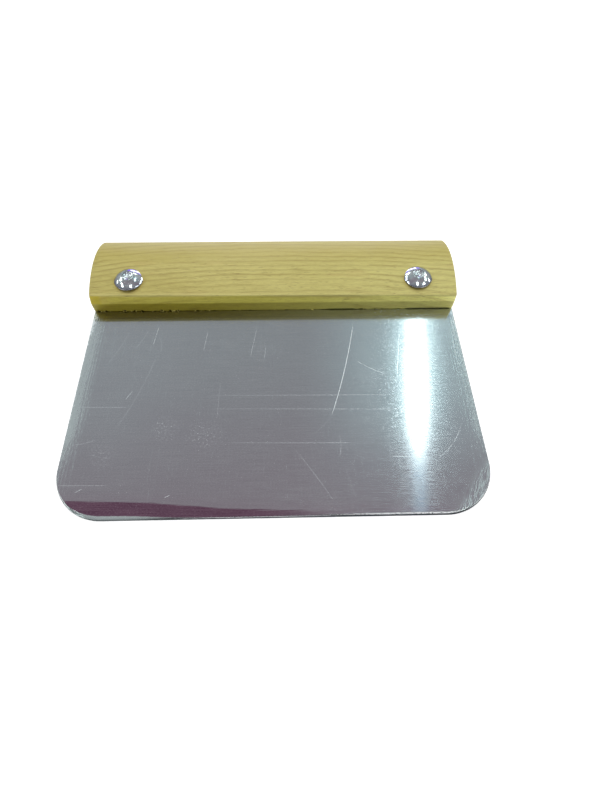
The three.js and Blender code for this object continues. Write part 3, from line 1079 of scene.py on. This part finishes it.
def build_pin(name, x, turn):
    """A straight pin whose two ends are spread into the caps and dished by the spinning tool."""
    bm = bmesh.new()

    def spun_ring(sign, radius, segments=PIN_SEGMENTS):
        return ring_about_pin(
            bm, x, radius, segments, lambda angle: sign * spun_end(radius, sign * angle + turn))

    def level_ring(sign, radius, below):
        return ring_about_pin(bm, x, radius, PIN_SEGMENTS, lambda angle: sign * (PIN_END - below))

    necks = []
    for sign in (-1, 1):
        rings = [
            spun_ring(sign, PIN_HEAD_RADIUS * (1 - i / PIN_END_RINGS))
            for i in range(PIN_END_RINGS)]
        neck = level_ring(sign, PIN_RADIUS, PIN_NECK)
        shoulder = level_ring(sign, PIN_HEAD_RADIUS, PIN_SHOULDER)
        bridge(bm, rings[-1], spun_ring(sign, 0, 1))
        for lower, upper in zip([neck, shoulder, *rings], [shoulder, *rings]):
            bridge(bm, lower, upper)
        necks.append(neck)
    bridge(bm, *necks)
    finish_piece(mesh_object(name + "_spun", bm), spun_chrome, [name])


for side, x in (("left", -RIVET_X), ("right", RIVET_X)):
    build_cap(side + "_top_cap", x, False)
    build_cap(side + "_bottom_cap", x, True)
    build_pin(side + "_rivet_pin", x, 0.8 if side == "left" else 2.1)

# ---------------- stage


def panel(name, width, height, material):
    """A flat card that polished metal mirrors. The camera doesn't see it and it shades nothing."""
    bm = bmesh.new()
    x, y = width / 2, height / 2
    corners = [(-x, -y, 0), (x, -y, 0), (x, y, 0), (-x, y, 0)]
    bm.faces.new([bm.verts.new(corner) for corner in corners])
    made = mesh_object(name, bm, material)
    made.visible_camera = False
    made.visible_diffuse = False
    made.visible_shadow = False
    made.visible_transmission = False
    return made


def card(name, centre, facing, width, height, material, tilt=0):
    """A card that faces a point, turned about its own axis by tilt degrees."""
    made = panel(name, width, height, material)
    spin = Quaternion((0, 0, 1), math.radians(tilt))
    made.rotation_mode = "QUATERNION"
    made.rotation_quaternion = (Vector(facing) - Vector(centre)).to_track_quat("Z", "Y") @ spin
    made.location = centre


def from_direction(azimuth, elevation, distance):
    """A point seen from the scraper. Azimuth, from +Y to +X, and elevation are in degrees."""
    a, e = math.radians(azimuth), math.radians(elevation)
    return Vector((math.sin(a) * math.cos(e), math.cos(a) * math.cos(e), math.sin(e))) * distance


def soft_light(name, azimuth, elevation, distance, size, power):
    data = bpy.data.lights.new(name, "AREA")
    data.shape = "DISK"
    data.size = size
    data.energy = power
    lamp = add_object(name, data)
    lamp.location = from_direction(azimuth, elevation, distance)
    lamp.rotation_mode = "QUATERNION"
    lamp.rotation_quaternion = (-lamp.location).to_track_quat("-Z", "Y")
    lamp.visible_glossy = False
    lamp.visible_camera = False


def build_floor():
    nodes = new_material("white_bench")
    nodes.set(Base_Color=(0.86, 0.86, 0.86), Roughness=0.8, Emission_Color=(1, 1, 1),
              Emission_Strength=0.5)
    bm = bmesh.new()
    bmesh.ops.create_grid(bm, x_segments=2, y_segments=2, size=3)
    floor = mesh_object("bench_top", bm, nodes.owner)


def build_world():
    """A soft pale room, darker towards the front and low down."""
    world = bpy.data.worlds.new("soft_room")
    nodes = Nodes(world)
    _, y, z = nodes.split(nodes.node("ShaderNodeTexCoord").outputs["Generated"])
    lift = nodes.muladd(z, 0.75, nodes.product(y, 0.45))
    strength = nodes.smooth(lift, -0.35, 0.95, 0.10, 0.62)
    nodes.set("Background", Strength=strength, Color=(0.93, 0.96, 1))
    bpy.context.scene.world = world


CEILING_HEIGHT = 700
CEILING_WIDTH = 1100
CEILING_DEPTH = 720
CEILING_START = -120
TUBE_X = 211  # where the tube's line crosses the ceiling's front, and how it slants
TUBE_SLANT = 0.092
TUBE_END = 198


def build_ceiling():
    """The grey ceiling that the blade mirrors: plum to the front, cyan around the tube lamp."""
    nodes = new_material("grey_ceiling")
    across, along, _ = nodes.split(nodes.node("ShaderNodeTexCoord").outputs["Generated"])
    x = nodes.muladd(across, CEILING_WIDTH, -CEILING_WIDTH / 2)
    y = nodes.muladd(along, CEILING_DEPTH, CEILING_START)
    colour = nodes.mix(nodes.smooth(y, 480, 60), (0.41, 0.45, 0.475), (0.37, 0.33, 0.37))
    leftward = nodes.product(nodes.smooth(x, -60, -330), nodes.smooth(y, 60, 400))
    colour = nodes.mix(leftward, colour, (0.49, 0.54, 0.57), share=0.6)

    # The tube lamp: a white core with a cyan halo, and a dim blue end towards the front.
    tube_x = nodes.muladd(y, TUBE_SLANT, TUBE_X)
    from_tube = nodes.apart(x, tube_x)
    wide = nodes.product(nodes.smooth(from_tube, 230, 10), nodes.smooth(y, 80, 350))
    near = nodes.product(nodes.smooth(from_tube, 65, 12), nodes.smooth(y, 190, 320))
    end = nodes.product(nodes.smooth(from_tube, 13, 2), nodes.smooth(y, -60, 200))
    narrowing = nodes.smooth(y, TUBE_END, TUBE_END + 70, -11, 0)
    narrowing = nodes.math("ADD", narrowing, nodes.smooth(y, 320, 470, 0, -5))
    core = nodes.product(
        nodes.smooth(nodes.minus(from_tube, narrowing), 21, 14),
        nodes.smooth(y, TUBE_END, TUBE_END + 16))
    colour = nodes.mix(wide, colour, (0.34, 0.58, 0.60), "ADD", share=0.60)
    colour = nodes.mix(near, colour, (0.35, 0.62, 0.64), "ADD")
    colour = nodes.mix(end, colour, (0.72, 1.50, 1.95), "ADD", share=0.46)
    colour = nodes.mix(core, colour, (5.6, 6.8, 7))
    made = panel("ceiling_card", CEILING_WIDTH * MM, CEILING_DEPTH * MM, nodes.glow(colour))
    made.location = blade_to_bench @ Vector((0, CEILING_START + CEILING_DEPTH / 2, CEILING_HEIGHT))
    made.rotation_euler = (LEAN, 0, 0)


# Lamps that the polished rivets mirror, each (azimuth, elevation, width, height, tilt).
LAMPS = [
    (-103, 48, 0.40, 0.13, 0), (-73, 25, 0.28, 0.12, 20), (-57, 41, 0.46, 0.13, -15),
    (47, 31, 0.36, 0.13, 15), (74, 25, 0.26, 0.11, -20), (75, 43, 0.42, 0.12, 0),
    (114, 48, 0.32, 0.14, 25), (136, 30, 0.22, 0.10, -20), (171, 64, 0.15, 0.30, 0),
]
LAMP_DISTANCE = 1.2
WINDOW = Vector((0, 0.335, 0.098))
NEAR_LAMP = Vector((-0.028, 0.17, 0.125))


def build_reflections():
    white = new_material("lamp_white").glow((0.90, 1, 0.98), 7)
    for i, (azimuth, elevation, width, height, tilt) in enumerate(LAMPS):
        centre = from_direction(azimuth, elevation, LAMP_DISTANCE)
        card(f"lamp_{i}", centre, (0, 0, 0), width, height, white, tilt)
    card("near_lamp", NEAR_LAMP, (0, 0.03, 0.02), 0.055, 0.022, white)
    window = new_material("window_white").glow((1, 1, 1), 4)
    card("window", WINDOW, (0, 0.03, 0.02), 0.23, 0.05, window)
    violet = new_material("window_edge").glow((0.34, 0.22, 1), 1.5)
    card("window_edge", WINDOW + Vector((0, 0.02, -0.006)), (0, 0.03, 0.02), 0.32, 0.125, violet)


def build_camera():
    data = bpy.data.cameras.new("camera")
    data.lens = 24.75
    data.sensor_width = 36
    camera = add_object("camera", data)
    camera.location = (0.00446, -0.1301, 0.1773)
    camera.rotation_euler = (math.radians(33.82), math.radians(-0.69), math.radians(-1.4))
    data.clip_start = 0.01
    bpy.context.scene.camera = camera


build_floor()
build_world()
build_ceiling()
build_reflections()
soft_light("key", 10, 86, 1.3, 0.9, 9.5)
soft_light("fill", 140, 42, 1.5, 0.8, 1.6)
build_camera()
bpy.context.scene.view_settings.view_transform = "Standard"
